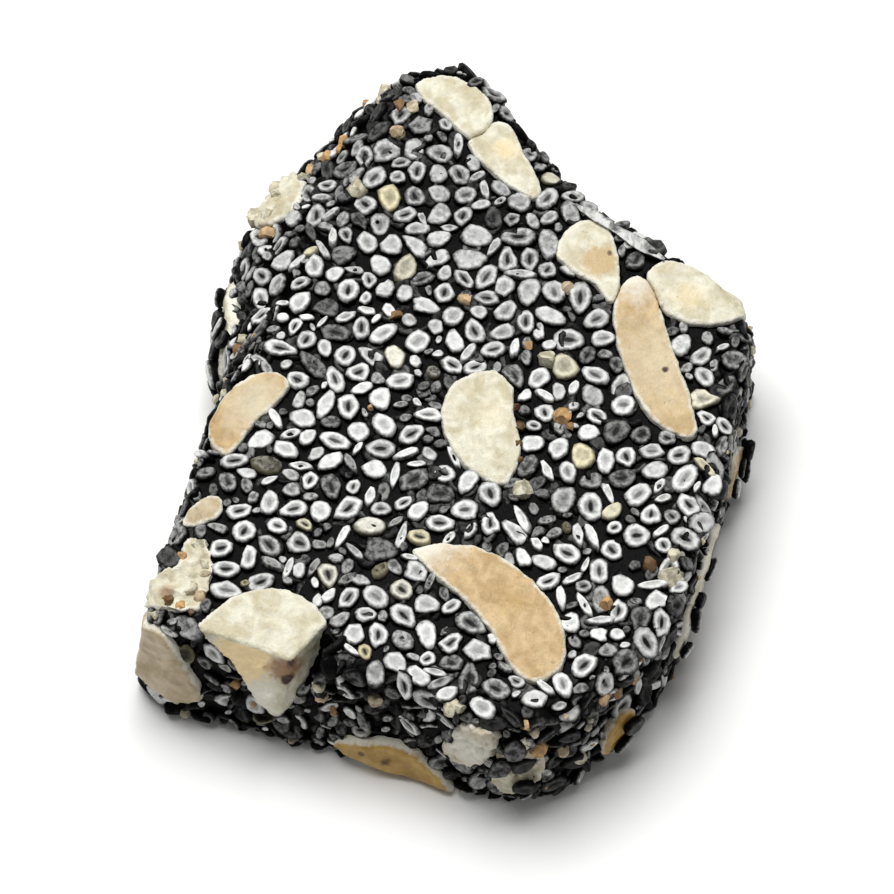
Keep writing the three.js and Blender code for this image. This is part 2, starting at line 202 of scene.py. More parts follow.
class Recipe:
    """A material's node tree, put together one node at a time."""

    def __init__(self, name):
        self.material = bpy.data.materials.new(name)
        self.material.use_nodes = True
        self.tree = self.material.node_tree
        self.shader = self.tree.nodes["Principled BSDF"]

    def feed(self, node, inputs):
        for name, value in inputs.items():
            if isinstance(value, bpy.types.NodeSocket):
                self.tree.links.new(value, node.inputs[name])
            else:
                node.inputs[name].default_value = value

    def finish(self, **inputs):
        self.feed(self.shader, {name.replace("_", " "): v for name, v in inputs.items()})
        return self.material

    def step(self, kind, inputs=None, **choices):
        node = self.tree.nodes.new(kind)
        for name, value in choices.items():
            setattr(node, name, value)
        self.feed(node, inputs or {})
        return node

    def math(self, operation, first, second=0.0, third=0.0):
        node = self.step("ShaderNodeMath", {0: first, 1: second, 2: third}, operation=operation)
        return node.outputs[0]

    def attribute(self, name):
        return self.step("ShaderNodeAttribute", attribute_name=name)

    def place(self):
        return self.step("ShaderNodeTexCoord").outputs["Object"]

    def noise(self, pitch, detail=3.0, where=None, stretch=0.0, roughness=0.55):
        node = self.step("ShaderNodeTexNoise", {"Vector": where or self.place(), "Scale": 1 / pitch,
                                                "Detail": detail, "Roughness": roughness,
                                                "Distortion": stretch})
        return node.outputs["Fac"]

    def between(self, value, start, end, bottom=0.0, top=1.0):
        """A smooth step from bottom to top, as value goes from start to end."""
        node = self.step("ShaderNodeMapRange", {"Value": value, "From Min": start, "From Max": end,
                                                "To Min": bottom, "To Max": top},
                         interpolation_type="SMOOTHSTEP")
        return node.outputs["Result"]

    def mix(self, share, first, second):
        # The node has inputs for each kind of data: 0 is the share, 6 and 7 are the colours.
        node = self.step("ShaderNodeMix", data_type="RGBA")
        for socket, value in ((0, share), (6, first), (7, second)):
            if not isinstance(value, bpy.types.NodeSocket) and socket:
                value = (*value[:3], 1)
            self.feed(node, {socket: value})
        return node.outputs[2]

    def scaled(self, shade, level):
        node = self.step("ShaderNodeVectorMath", {0: shade, "Scale": level}, operation="SCALE")
        return node.outputs[0]

    def parts(self, vector):
        return self.step("ShaderNodeSeparateXYZ", {0: vector}).outputs

    def bump(self, height, strength, distance):
        node = self.step("ShaderNodeBump", {"Height": height, "Strength": strength,
                                            "Distance": distance})
        return node.outputs["Normal"]

    def near(self, centre, reach, softness):
        """1 within reach of a point of the slab, 0 outside."""
        away = self.step("ShaderNodeVectorMath", {0: self.place(), 1: centre}, operation="DISTANCE")
        ragged = self.math("MULTIPLY_ADD", self.noise(0.7 * MM), MARK_WANDER * reach,
                           away.outputs["Value"])
        return self.between(ragged, start=reach * (MARK_END - softness), end=reach * MARK_END,
                            bottom=1.0, top=0.0)


def syrup_material():
    recipe = Recipe("set_syrup")
    tint = settings("syrup").tint
    # Painted glints: patches of the glossy syrup are made six times paler, standing in for light caught
    # on it.
    painted_glints = recipe.between(recipe.noise(0.5 * MM, detail=4), start=0.62, end=0.8)
    shade = recipe.mix(painted_glints, tint, times(6, tint))
    bumps = recipe.noise(0.35 * MM, detail=4)
    return recipe.finish(Base_Color=shade, Roughness=0.35, Specular_IOR_Level=0.03,
                         Normal=recipe.bump(bumps, strength=0.6, distance=0.12 * MM))


def film_material():
    recipe = Recipe("syrup_film")
    film = settings("syrup").film
    # The pale streaks are painted highlights on the glossy film; the darker ones are its thin dark
    # lines.
    streaks_and_painted_highlights = recipe.between(recipe.noise(1.6 * MM, detail=2, stretch=1.2), start=0.36, end=0.6)
    shade = recipe.mix(streaks_and_painted_highlights, times(0.4, film), times(1.7, film))
    bumps = recipe.noise(0.5 * MM, detail=3, stretch=1.0)
    return recipe.finish(Base_Color=shade, Roughness=0.22,
                         Normal=recipe.bump(bumps, strength=0.3, distance=0.08 * MM))


# Where things lie on a seed, as shares of its half-length and half-width.
FLAT_EDGE = 0.81
EDGE_SOFTNESS = 0.19
SLOT_LENGTH = 0.36
SLOT_WIDTH = 0.18
OUTLINE_WANDER = 0.4


def seed_material():
    """Reads where a point lies on its seed (seed_plan) and how that seed looks (seed_tone). Its pale
    flat is a painted reflection of the soft light in the glazed seed, fainter in the middle and dark in
    the slot.
    """
    recipe = Recipe("glazed_sesame")
    seeds = settings("seeds")
    along, across, height = recipe.parts(recipe.attribute("seed_plan").outputs["Vector"])
    bright, hollow, warmth = recipe.parts(recipe.attribute("seed_tone").outputs["Vector"])

    def reach(x, y):
        square = recipe.math("MULTIPLY_ADD", x, x, recipe.math("MULTIPLY", y, y))
        return recipe.math("SQRT", square)

    uneven = recipe.math("SUBTRACT", recipe.noise(0.55 * MM, detail=2), 0.5)
    waver = recipe.math("MULTIPLY", uneven, OUTLINE_WANDER)
    out = recipe.math("ADD", reach(along, across), waver)
    inside = recipe.between(out, FLAT_EDGE + EDGE_SOFTNESS, FLAT_EDGE - EDGE_SOFTNESS)
    on_flat = recipe.math("MULTIPLY", inside, recipe.between(height, start=0.3, end=0.75))
    slot = recipe.math("ADD", reach(recipe.math("DIVIDE", along, SLOT_LENGTH),
                                    recipe.math("DIVIDE", across, SLOT_WIDTH)), waver)
    in_slot = recipe.math("MULTIPLY", recipe.between(slot, start=1.5, end=0.6),
                          recipe.between(hollow, start=0.35, end=0.75))
    # Painted reflection: it dips in the middle of the flat as far as the seed is hollow.
    reflection_dip = recipe.math("MULTIPLY", recipe.between(out, start=0.66, end=0.34, top=0.72), hollow)
    reflection_left = recipe.math("SUBTRACT", 1.0, reflection_dip)
    spots = recipe.between(recipe.noise(0.5 * MM, detail=3), start=0.34, end=0.6)
    full = recipe.between(bright, start=0.3, end=1.0, bottom=0.2, top=0.75)
    mottle = recipe.math("MULTIPLY_ADD", spots, recipe.math("SUBTRACT", 1.0, full), full)
    # The pale colour is a painted reflection on a black seed, and a cream seed's own colour.
    pale = recipe.mix(warmth, seeds.flat, seeds.cream)
    level = recipe.math("MULTIPLY", reflection_left, mottle)
    lit = recipe.scaled(pale, recipe.math("MULTIPLY", bright, level))
    flat = recipe.mix(in_slot, lit, seeds.heart)
    edge = recipe.mix(warmth, seeds.rim, times(0.3, seeds.cream))
    shade = recipe.mix(on_flat, edge, flat)
    bumps = recipe.noise(0.2 * MM, detail=3)
    return recipe.finish(Base_Color=shade, Roughness=0.4, Specular_IOR_Level=0.05,
                         Normal=recipe.bump(bumps, strength=0.35, distance=0.05 * MM))


DARK_PATCH = (0.86, 0.80, 0.70)  # what a piece's colour is multiplied by in its darker patches
PALE_PATCH = (1.14, 1.15, 1.2)
RIM_WANDER = 0.8  # how far a piece's paler edge wanders
FINE_SHARE = 0.7  # height of its fine bumps next to its broad ones
CEILING_FADE = 0.2 * MM  # a mark that stays under a height fades out over this

# Marks on peanut pieces: node, place as shares of its box, reach, softness, colour and strength,
# and for some the height that they stay under.
MARKS = (
    # The first two marks lift the chunk's lower facets, which face away from the light, with painted
    # light as well as a toasted tint.
    ("nut_rim_chunk", (0.38, 0.20, 0.50), 6.0 * MM, 0.5, "edge", 0.6, 13.5 * MM),
    ("nut_rim_chunk", (0.42, 0.23, 0.82), 3.5 * MM, 0.45, "warm", 0.95, 13.5 * MM),
    ("nut_rim_chunk", (0.79, 0.22, 0.80), 2.3 * MM, 0.6, "brown", 0.8, 13.5 * MM),
    ("nut_rim_chunk", (0.84, 0.25, 0.90), 0.8 * MM, 0.5, "char", 1.0),
    ("nut_rim_chunk", (0.72, 0.16, 0.84), 0.6 * MM, 0.5, "char", 1.0),
    ("nut_rim_chunk", (0.80, 0.20, 0.66), 0.8 * MM, 0.5, "char", 1.0),
    ("nut_rim_chunk", (0.74, 0.14, 0.72), 0.5 * MM, 0.5, "char", 1.0),
    ("nut_top_heart", (0.62, 0.48, 1.0), 1.9 * MM, 0.4, "tan", 0.9),
    ("nut_top_heart", (0.72, 0.62, 1.0), 0.35 * MM, 0.6, "char", 0.8),
    ("nut_top_wedge", (0.45, 0.45, 1.0), 2.2 * MM, 0.9, "warm", 0.35),
    ("nut_top_kidney", (0.55, 0.60, 1.0), 2.4 * MM, 0.9, "warm", 0.2),
    ("nut_top_tail", (0.45, 0.60, 1.0), 1.6 * MM, 0.8, "warm", 0.5),
    ("nut_top_spear", (0.50, 0.45, 1.0), 9.0 * MM, 1.0, "ivory", 0.4),
    ("nut_top_spear", (0.10, 0.95, 1.0), 3.4 * MM, 1.0, "edge", 0.75),
    ("nut_top_spear", (0.58, 0.41, 1.0), 0.42 * MM, 0.6, "char", 1.0),
    ("nut_top_comma", (0.05, 0.95, 1.0), 5.2 * MM, 1.0, "edge", 0.9),
    ("nut_top_comma", (0.62, 0.62, 1.0), 2.2 * MM, 1.0, "roasted", 0.35),
    ("nut_top_crescent", (0.60, 0.60, 1.0), 5.0 * MM, 1.0, "ivory", 0.6),
    ("nut_top_crescent", (0.25, 0.05, 0.8), 0.9 * MM, 0.8, "brown", 0.6),
    ("nut_front_round", (0.50, 0.0, 0.5), 5.0 * MM, 0.9, "edge", 1.0),
    ("nut_front_roasted", (0.45, 0.0, 0.55), 0.8 * MM, 0.7, "char", 0.85),
    ("nut_front_roasted", (0.25, 0.0, 0.70), 0.5 * MM, 0.6, "char", 0.8),
    ("nut_front_roasted", (0.68, 0.0, 0.40), 0.4 * MM, 0.6, "char", 0.8),
    ("nut_top_crumbly", (0.35, 0.20, 0.9), 1.0 * MM, 0.7, "brown", 0.7),
    ("nut_right_long", (1.0, 0.3, 0.5), 0.6 * MM, 0.6, "brown", 0.8),
    ("nut_left_long", (0.0, 0.7, 0.4), 0.9 * MM, 0.7, "brown", 0.7),
    ("nut_base_chunk", (0.6, 0.4, 0.0), 1.0 * MM, 0.7, "brown", 0.7),
    ("nut_back_half", (0.4, 1.0, 0.5), 0.7 * MM, 0.6, "brown", 0.7),
)


def peanut_material(slot):
    recipe = Recipe(slot)
    given = settings("peanut")
    body = getattr(given, slot.replace("peanut_", ""))
    patch = recipe.between(recipe.noise(2.2 * MM, detail=3, stretch=0.6), start=0.34, end=0.66)
    dark, pale = ([min(1, value * share) for value, share in zip(body, shares)]
                  for shares in (DARK_PATCH, PALE_PATCH))
    mottle = recipe.between(recipe.noise(0.8 * MM, detail=3), start=0.34, end=0.66,
                            bottom=0.9, top=1.05)
    lit = recipe.scaled(recipe.mix(patch, dark, pale), mottle)
    wavy = recipe.noise(0.8 * MM, detail=2)
    rim = recipe.math("MULTIPLY_ADD", wavy, RIM_WANDER, recipe.attribute("rim").outputs["Fac"])
    # The paler edge: partly the kernel's own colour, partly a painted highlight where its rim catches
    # the light.
    shade = recipe.mix(recipe.between(rim, start=1.05, end=0.6, top=0.9), lit, given.edge)
    for node, place, reach, softness, tint, strength, *ceiling in MARKS:
        if SUBPARTS[node] == slot:
            low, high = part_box(node)
            centre = [a + share * (b - a) for a, b, share in zip(low, high, place)]
            spot = recipe.math("MULTIPLY", recipe.near(centre, reach, softness), strength)
            for level in ceiling:
                under = recipe.between(recipe.parts(recipe.place())["Z"], level, level - CEILING_FADE)
                spot = recipe.math("MULTIPLY", spot, under)
            shade = recipe.mix(spot, shade, getattr(given, tint))
    # Painted shade: small dark spots stand in for the shade inside pits in the kernel.
    painted_pit_shade = recipe.between(recipe.noise(0.7 * MM, detail=5, roughness=0.7), start=0.36, end=0.30, top=0.6)
    shade = recipe.mix(painted_pit_shade, shade, times(0.45, body))
    fine = recipe.math("MULTIPLY", recipe.noise(0.22 * MM, detail=3), FINE_SHARE)
    bumps = recipe.math("ADD", recipe.noise(0.8 * MM, detail=4), fine)
    return recipe.finish(Base_Color=shade, Roughness=0.3, Specular_IOR_Level=0.25,
                         Normal=recipe.bump(bumps, strength=0.9, distance=0.14 * MM))


def crumb_material():
    recipe = Recipe("peanut_crumb")
    given = settings("peanut")
    toast = recipe.attribute("toast").outputs["Fac"]
    shade = recipe.mix(recipe.between(toast, start=0.05, end=0.55), given.ivory, given.toasted)
    shade = recipe.mix(recipe.between(toast, start=0.6, end=1.0), shade, given.char)
    dirt = recipe.between(recipe.noise(0.6 * MM, detail=4), start=0.6, end=0.4, top=0.55)
    shade = recipe.mix(dirt, shade, times(0.35, given.tan))
    bumps = recipe.noise(0.25 * MM, detail=4)
    return recipe.finish(Base_Color=shade, Roughness=0.45, Specular_IOR_Level=0.2,
                         Normal=recipe.bump(bumps, strength=0.6, distance=0.1 * MM))


# ---------------------------------------------------------------- modelling helpers

MERGED = 0.002 * MM  # points of a CAD mesh that are nearer than this become one


def deselect():
    bpy.ops.object.select_all(action="DESELECT")


def pick(*objects):
    """Selects these objects alone, the last one active."""
    deselect()
    for thing in objects:
        thing.select_set(True)
    bpy.context.view_layer.objects.active = objects[-1]


def modify(thing, kind, **choices):
    """Adds a modifier and applies it."""
    pick(thing)
    modifier = thing.modifiers.new(kind.title(), kind)
    for name, value in choices.items():
        setattr(modifier, name, value)
    bpy.ops.object.modifier_apply(modifier=modifier.name)


def swell(thing, distance, **where):
    """Moves the surface outwards by a distance, or inwards by a negative one."""
    modify(thing, "DISPLACE", strength=distance, mid_level=0, **where)


def relax(thing, rounds, **axes):
    modify(thing, "SMOOTH", factor=0.5, iterations=rounds, **axes)


def roughen(thing, name, pitch, height, middle, **where):
    """Pushes the surface out and in by smooth random lumps; the middle level stays where it is."""
    texture = bpy.data.textures.new(name, "CLOUDS")
    texture.noise_scale = pitch
    texture.noise_depth = 2
    modify(thing, "DISPLACE", texture=texture, texture_coords="LOCAL", strength=height,
           mid_level=middle, **where)


def edit(thing):
    pick(thing)
    bpy.ops.object.mode_set(mode="EDIT")
    bpy.ops.mesh.select_all(action="SELECT")


def leave():
    bpy.ops.object.mode_set(mode="OBJECT")


def edit_edges_where(thing, test):
    """Opens the mesh for editing with the edges selected whose two ends pass a test of their place."""
    mesh = thing.data
    for group in (mesh.vertices, mesh.edges, mesh.polygons):
        group.foreach_set("select", [False] * len(group))
    for edge in mesh.edges:
        edge.select = all(test(mesh.vertices[end].co) for end in edge.vertices)
        for end in edge.vertices:
            mesh.vertices[end].select |= edge.select
    pick(thing)
    bpy.ops.object.mode_set(mode="EDIT")
    bpy.ops.mesh.select_mode(type="EDGE")


def add(name, data):
    """A new object of this data in the scene."""
    thing = bpy.data.objects.new(name, data)
    bpy.context.scene.collection.objects.link(thing)
    return thing


def together(name, things):
    """One new object of copies of these."""
    pick(*[add(name, thing.data.copy()) for thing in things])
    if len(things) > 1:
        bpy.ops.object.join()
    return bpy.context.object


def copy_of(*nodes, name):
    """One new object with the merged meshes of these CAD nodes."""
    whole = together(name, [frame["nodes"][node] for node in nodes])
    whole.name = name
    whole.data.name = name
    whole.data.materials.clear()
    edit(whole)
    bpy.ops.mesh.remove_doubles(threshold=MERGED)
    leave()
    return whole


def smooth_shading(thing):
    pick(thing)
    bpy.ops.object.shade_smooth()


def finish_piece(thing, material, replaced=()):
    thing.data.materials.clear()
    thing.data.materials.append(material)
    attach(thing, BODY)
    if replaced:
        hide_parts(*replaced)


def discard(thing):
    mesh = thing.data
    bpy.data.objects.remove(thing)
    bpy.data.meshes.remove(mesh)


def tree_of(thing):
    """What finds the nearest place on an object."""
    mesh = thing.data
    return BVHTree.FromPolygons([v.co[:] for v in mesh.vertices], [p.vertices[:] for p in mesh.polygons])


def tree_instead_of(thing):
    tree = tree_of(thing)
    discard(thing)
    return tree


def mark_points(mesh, name, values):
    """Gives each point of a mesh one number or three for its material."""
    kind, field = ("FLOAT", "value") if values.ndim == 1 else ("FLOAT_VECTOR", "vector")
    layer = mesh.attributes.new(name, kind, "POINT")
    layer.data.foreach_set(field, values.ravel())


# ---------------------------------------------------------------- the slab's skin

SKIN_CLOSING = 0.2 * MM  # half of the widest gap that the skin spans
SKIN_VOXEL = 0.42 * MM
ON_PEANUT = 0.35 * MM  # a point of the skin that is nearer to a peanut piece lies on it
SEEDED = {  # pieces that seeds are stuck on, and the share of the seeds that are left there
    "nut_front_seeded": 0.6,
    "nut_right_long": 1.0,
    "nut_right_split": 1.0,
    "nut_right_chip": 1.0,
    "nut_left_long": 1.0,
}
ABOVE_PIECES = 3 * MM  # such a seed comes down on its piece from this height
STUCK_SHARE = 0.7  # the share of its half-thickness that such a seed lies above the piece


def closed_skin(name, voxel):
    """The outer surface of the whole slab, peanut pieces and all, without their gaps."""
    skin = copy_of(*SUBPARTS, name=name)
    swell(skin, SKIN_CLOSING)
    modify(skin, "REMESH", mode="VOXEL", voxel_size=voxel)
    swell(skin, -SKIN_CLOSING)
    relax(skin, 4)
    return skin


def peanuts_together(nodes=KERNELS):
    """A copy of these finished peanut pieces in one object."""
    return together("pieces", [bpy.data.objects[piece_name(node)] for node in nodes])


class Ground:
    """What the seeds lie on: the slab's skin, and the peanut pieces in it."""

    def __init__(self):
        skin = closed_skin("skin", SKIN_VOXEL)
        mesh = skin.data
        mesh.calc_loop_triangles()
        self.points = np.array([v.co[:] for v in mesh.vertices])
        self.triangles = np.array([t.vertices[:] for t in mesh.loop_triangles])
        self.skin = tree_instead_of(skin)
        bare = [node for node in KERNELS if node not in SEEDED]
        self.peanuts = tree_instead_of(peanuts_together(bare))

    def scattered(self, room, rng):
        """Random points, one for each room of surface."""
        corners = self.points[self.triangles]
        areas = np.linalg.norm(np.cross(corners[:, 1] - corners[:, 0],
                                        corners[:, 2] - corners[:, 0]), axis=1) / 2
        count = int(areas.sum() / room)
        chosen = rng.choice(len(areas), count, p=areas / areas.sum())
        u, v = rng.random((2, count, 1))
        turned = u + v > 1
        u, v = np.where(turned, 1 - u, u), np.where(turned, 1 - v, v)
        a, b, c = corners[chosen].transpose(1, 0, 2)
        points = a + u * (b - a) + v * (c - a)
        return points[nearest(self.peanuts, points)[2] > ON_PEANUT]


def nearest(tree, points):
    """The nearest place on a tree to each point, its normal and its distance."""
    found = [tree.find_nearest(Vector(point)) for point in points]
    places = np.array([hit[0][:] for hit in found])
    normals = np.array([hit[1][:] for hit in found])
    return places, normals, np.array([hit[3] for hit in found])


# ---------------------------------------------------------------- seeds

SEED_SIDES = 10
SEED_RINGS = (  # from the hollow of the flat out over the edge and under: (radius, height)
    (0.22, 0.66),
    (0.46, 0.86),
    (0.72, 1.00),
    (0.88, 0.84),
    (1.00, 0.25),
    (0.80, -0.70),
)
LYING, ON_EDGE, ON_END = 0, 1, 2
SIZES_WHEN = np.array([[0, 1, 2], [0, 2, 1], [1, 2, 0]])  # which size is length, width and height
NEIGHBOURS = 3.2 * MM  # seeds further apart than this can't touch
DIM_ZONE = 4 * MM  # size of the places where more seeds are dim
ZONE_EFFECT = 1.2  # how much more of them are dim there
DIMMED = (0.2, 0.7)  # how bright a dim seed is next to a common one
BRIGHT_SPREAD, BRIGHT_LIMITS = 0.1, (0.05, 1.05)
HOLLOW_DRAW = (1.5, 0.9)  # the two shape numbers of the beta draw for how hollow a flat is
CREAM_TONES = (0.3, 1.0)  # how far towards cream such a seed is
PRESSED_LEVEL = 0.01 * MM  # seeds of the underside are pressed flat at this height
SUNK_SHARE = 0.95  # the share of its half-height by which a seed goes down to be level
FLOOR_GAP = 0.02 * MM  # how far over the underside a seed or crumb ends at least
FACE_GAP = 0.1 * MM  # how far over the pressed face a seed ends at most
SMALL, LARGE = 0.74, 1.14  # how a small and a large seed compare with a common one
LARGE_SHARE = 0.12
SIZE_SPREAD = 0.1
OUTLINE_WAVES = ((2, 0.04), (3, 0.055), (4, 0.04), (5, 0.03))  # waves round a seed and their height
NICKS = 0.02  # unevenness of single points of its outline
EGG_SHAPE = 0.3  # how much narrower than its middle the pointed end of a seed may be
STEEPEST = 1.1  # radians that a seed may be tipped
PUSHED = 0.4  # the share of an overlap by which a seed moves away in one step
NEARLY_UP = 0.9  # directions on ground with a higher normal start from the x axis, not the z axis
TURNED = 250  # how fast an overlap turns a seed, in radians for a metre
CLEARANCE = 0.85  # how far seeds keep off peanut pieces, as a share of their own reach
TINY = 1e-9  # metres, so that nothing is divided by zero


def model_seed():
    """One seed of half-length, half-width and half-thickness 1, its flat upwards."""
    (radius, height), *outer = SEED_RINGS
    deselect()
    bpy.ops.mesh.primitive_circle_add(vertices=SEED_SIDES, radius=radius, fill_type="NGON",
                                      location=(0, 0, height))
    seed = bpy.context.object
    seed.name = "seed"
    bpy.ops.object.transform_apply(location=True)
    edit(seed)
    bpy.ops.mesh.select_mode(type="EDGE")
    bpy.ops.mesh.select_all(action="DESELECT")
    bpy.ops.mesh.select_non_manifold()
    for wide, high in outer:
        bpy.ops.mesh.extrude_edges_move(TRANSFORM_OT_translate={"value": (0, 0, high - height)})
        bpy.ops.transform.resize(value=(wide / radius, wide / radius, 1))
        radius, height = wide, high
    bpy.ops.mesh.edge_face_add()
    bpy.ops.mesh.select_all(action="SELECT")
    bpy.ops.mesh.normals_make_consistent(inside=False)
    leave()
    return seed


class Seeds:
    """Many seeds, each value an array with a row for each seed; up is the ground's normal there."""

    def __init__(self, ground, points, half, rng, lean=0.0):
        count = len(points)
        self.middle = points
        self.half = half
        self.heading = rng.uniform(0, 2 * math.pi, count)
        self.tip = rng.normal(size=(count, 2))
        self.up = nearest(ground.skin, points)[1]
        self.lean = np.full(count, lean)
        self.pose = np.full(count, LYING)
        self.stuck = np.zeros(count, dtype=bool)

    def face(self):
        """Turns each seed to lie on its ground, tipped by chance by about its own lean."""
        helper = np.where(np.abs(self.up[:, 2:]) < NEARLY_UP, [[0, 0, 1.0]], [[1.0, 0, 0]])
        first = np.cross(helper, self.up)
        first /= np.linalg.norm(first, axis=1, keepdims=True)
        second = np.cross(self.up, first)
        c, s = np.cos(self.heading)[:, None], np.sin(self.heading)[:, None]
        tilt = np.tan(np.clip(self.tip * self.lean[:, None], -STEEPEST, STEEPEST))
        flat_up = self.up + tilt[:, :1] * first + tilt[:, 1:] * second
        flat_up /= np.linalg.norm(flat_up, axis=1, keepdims=True)
        along = c * first + s * second
        along -= (along * flat_up).sum(1, keepdims=True) * flat_up
        along /= np.linalg.norm(along, axis=1, keepdims=True)
        self.axes = np.stack([along, np.cross(flat_up, along), flat_up], axis=1)

    def local(self, which, directions):
        return np.einsum("pij,pj->pi", self.axes[which], directions)

    def reach(self, which, directions):
        """How far the edge of these seeds lies from their middle in these directions."""
        return 1 / np.sqrt(((self.local(which, directions) / self.half[which]) ** 2).sum(1))

    def pairs(self, others=None):
        """Each seed with each neighbour: two lists of numbers."""
        others = self.middle if others is None else others
        tree = KDTree(len(self.middle))
        for number, point in enumerate(self.middle):
            tree.insert(point, number)
        tree.balance()
        found = [(number, hit[1]) for number, point in enumerate(others)
                 for hit in tree.find_range(point, NEIGHBOURS)]
        return np.array(found).T

    def off_peanuts(self, ground):
        """The way to each seed from its nearest peanut piece, how far it is, and its reach that way."""
        places, _, distance = nearest(ground.peanuts, self.middle)
        off = (self.middle - places) / (distance[:, None] + TINY)
        return off, distance, self.reach(np.arange(len(off)), off)

    def away_from(self, place):
        """How far each seed is from a place in millimetres."""
        return np.linalg.norm(self.middle - np.array(place) * MM, axis=1)

    def settle(self, ground, steps, start, end):
        """Pushes and turns the seeds apart over the skin and off the peanut pieces.

        Start and end say how close they may come, as a share of where they would touch.
        """
        for step in range(steps):
            self.face()
            one, other = self.pairs()
            apart = one != other
            one, other = one[apart], other[apart]
            gap = self.middle[one] - self.middle[other]
            away = np.linalg.norm(gap, axis=1) + TINY
            gap /= away[:, None]
            closeness = start + (end - start) * step / steps
            touch = self.reach(one, gap) + self.reach(other, gap)
            overlap = np.clip(closeness * touch - away, 0, None)
            np.add.at(self.middle, one, PUSHED * gap * overlap[:, None])
            across = self.local(one, gap)
            np.add.at(self.heading, one, -TURNED * overlap * across[:, 0] * across[:, 1])
            off, distance, reach = self.off_peanuts(ground)
            short = np.clip(CLEARANCE * reach - distance, 0, None)
            self.middle += short[:, None] * off
            self.middle, self.up, _ = nearest(ground.skin, self.middle)
        self.face()

    def keep(self, chosen):
        for name, values in vars(self).items():
            setattr(self, name, values[chosen])

    def only(self, chosen):
        """These of the seeds, as a group of their own."""
        group = copy(self)
        group.keep(chosen)
        return group

    def rise(self, direction):
        """Half of each seed's extent in a direction."""
        return np.sqrt((((self.axes * direction[:, None]).sum(2) * self.half) ** 2).sum(1))

    def sink(self, depth):
        """Lowers the seeds until they end about level with the skin, or this deep under it."""
        down = self.rise(self.up) * SUNK_SHARE + depth
        self.middle = self.middle - self.up * down[:, None]
        height = self.rise(np.tile([0.0, 0.0, 1.0], (len(self.up), 1)))
        self.middle[:, 2] = np.clip(self.middle[:, 2], height + FLOOR_GAP,
                                    np.maximum(FACE_LEVEL + FACE_GAP - height, height))

    def stick(self, rng):
        """Turns the seeds that are stuck on peanut pieces flat, and leaves a share of them."""
        for node, share in SEEDED.items():
            piece = tree_of(bpy.data.objects[piece_name(node)])
            on_piece = nearest(piece, self.middle)[2] < ON_PEANUT
            self.stuck |= on_piece
            self.keep(~on_piece | (rng.random(len(on_piece)) < share))
        self.lean[self.stuck] = settings("seeds").face_lean
        self.half[self.stuck] = -np.sort(-self.half[self.stuck])
        self.pose[self.stuck] = LYING
        self.face()

    def lift(self):
        """Raises the stuck seeds until they lie on their peanut pieces."""
        pieces = tree_instead_of(peanuts_together(list(SEEDED)))
        thick = self.rise(self.up)
        for number in np.flatnonzero(self.stuck):
            up = Vector(self.up[number])
            start = Vector(self.middle[number]) + ABOVE_PIECES * up
            place = pieces.ray_cast(start, -up, 2 * ABOVE_PIECES)[0]
            if place is not None:
                self.middle[number] = place + up * float(STUCK_SHARE * thick[number])


def sizes(count, rng, size=1.0, on_edge=0.0, on_end=0.0, small=0.0):
    """Half sizes of seeds, some of them small, some standing on edge or on end, and how they lie."""
    given = settings("seeds")
    pose = rng.random(count)
    pose = np.where(pose < on_end, ON_END, np.where(pose < on_end + on_edge, ON_EDGE, LYING))
    half = np.array([given.length, given.width, given.thickness]) / 2 * size
    half = half * (1 + SIZE_SPREAD * np.clip(rng.normal(size=(count, 3)), -2, 2))
    kinds = [small, 1 - LARGE_SHARE - small, LARGE_SHARE]
    half *= rng.choice([SMALL, 1.0, LARGE], (count, 1), p=kinds)
    return np.take_along_axis(half, SIZES_WHEN[pose], axis=1), pose


def joined(name, template, placed, **attributes):
    """One mesh of many shaped copies of a template, with attributes for their points.

    Edit mode leaves a template's faces in another order on each run, so they are sorted.
    """
    faces = sorted(tuple(p.vertices) for p in template.data.polygons)
    count, size = placed.shape[:2]
    mesh = bpy.data.meshes.new(name)
    shifts = (np.arange(count) * size).tolist()
    mesh.from_pydata(placed.reshape(-1, 3).tolist(), [],
                     [[v + shift for v in face] for shift in shifts for face in faces])
    for label, values in attributes.items():
        mark_points(mesh, label, values)
    return add(name, mesh)


def points_of(template):
    return np.array([v.co[:] for v in template.data.vertices])


def seed_mesh(name, seeds, tones, template, rng):
    """Shapes one copy of the template for each seed, egg-shaped and with uneven edges."""
    points = points_of(template)
    count, size = len(seeds.middle), len(points)
    turn = np.arctan2(points[:, 1], points[:, 0])[None]
    shaped = np.repeat(points[None], count, axis=0)
    uneven = 1 + rng.normal(scale=NICKS, size=(count, size))
    for waves, height in OUTLINE_WAVES:
        swing = rng.normal(scale=height, size=(count, 1))
        uneven += swing * np.cos(waves * turn + rng.uniform(0, 2 * math.pi, (count, 1)))
    shaped[:, :, :2] *= uneven[:, :, None]
    shaped[:, :, 1] *= 1 - rng.uniform(0.0, EGG_SHAPE, (count, 1)) * shaped[:, :, 0]
    shaped *= seeds.half[:, None]
    placed = np.einsum("nvi,nij->nvj", shaped, seeds.axes) + seeds.middle[:, None]
    placed[:, :, 2] = np.maximum(placed[:, :, 2], PRESSED_LEVEL)
    piece = joined(name, template, placed, seed_plan=np.tile(points, (count, 1)),
                   seed_tone=np.repeat(tones, size, axis=0))
    smooth_shading(piece)
    return piece


